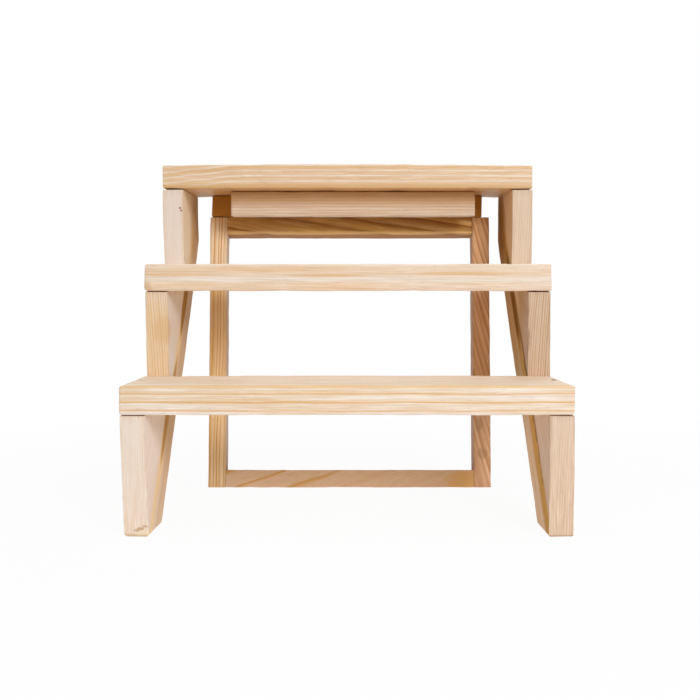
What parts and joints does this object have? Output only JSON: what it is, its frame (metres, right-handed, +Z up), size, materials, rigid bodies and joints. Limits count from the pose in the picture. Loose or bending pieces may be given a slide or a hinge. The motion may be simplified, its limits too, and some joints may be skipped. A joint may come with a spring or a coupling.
{
  "type": "step display stand",
  "caption": "Stepped pine display stand: sawtooth side boards carry nailed treads, and a hinged rectangular leg frame props the top tread from behind.",
  "frame": {"origin": "on the floor, under the middle of the stand's box", "axes": "+X to the right seen from the front, +Y from the front to the back, +Z up"},
  "size_m": [0.3048, 0.2674, 0.2699],
  "materials": {
    "pale_pine": "planed and unfinished",
    "golden_pine": "planed and unfinished",
    "warm_pine": "planed and unfinished",
    "hinge_steel": "zinc plated",
    "screw_steel": "zinc plated",
    "nail_steel": "dull bright wire"
  },
  "bodies": {
    "stand": {"left_stringer": "pale_pine", "right_stringer": "pale_pine", "lower_tread": "golden_pine", "middle_tread": "golden_pine", "top_tread": "golden_pine", "batten": "pale_pine", "rear_rail": "warm_pine", "lower_tread_nail_left": "nail_steel", "lower_tread_nail_right": "nail_steel", "middle_tread_nail_left": "nail_steel", "middle_tread_nail_right": "nail_steel", "top_tread_nail_left": "nail_steel", "top_tread_nail_right": "nail_steel", "batten_screw_left": "screw_steel", "batten_screw_right": "screw_steel", "rear_rail_screw_left": "screw_steel", "rear_rail_screw_right": "screw_steel", "hinge_left_fixed_leaf": "hinge_steel", "hinge_left_pin": "hinge_steel", "hinge_left_fixed_screw_1": "screw_steel", "hinge_left_fixed_screw_2": "screw_steel", "hinge_right_fixed_leaf": "hinge_steel", "hinge_right_pin": "hinge_steel", "hinge_right_fixed_screw_1": "screw_steel", "hinge_right_fixed_screw_2": "screw_steel"},
    "leg_frame": {"leg_left_stile": "warm_pine", "leg_right_stile": "warm_pine", "leg_top_rail": "golden_pine", "leg_bottom_rail": "golden_pine", "leg_top_nail_left": "nail_steel", "leg_top_nail_right": "nail_steel", "leg_bottom_nail_left": "nail_steel", "leg_bottom_nail_right": "nail_steel", "hinge_left_moving_leaf": "hinge_steel", "hinge_left_moving_screw_1": "screw_steel", "hinge_left_moving_screw_2": "screw_steel", "hinge_right_moving_leaf": "hinge_steel", "hinge_right_moving_screw_1": "screw_steel", "hinge_right_moving_screw_2": "screw_steel"}
  },
  "joints": [
    {"name": "leg_fold", "type": "hinge", "parent": "stand", "child": "leg_frame", "pos_m": [0.0014, 0.1294, 0.23133], "axis": [1, 0, 0], "range_deg": [0, 90]}
  ]
}
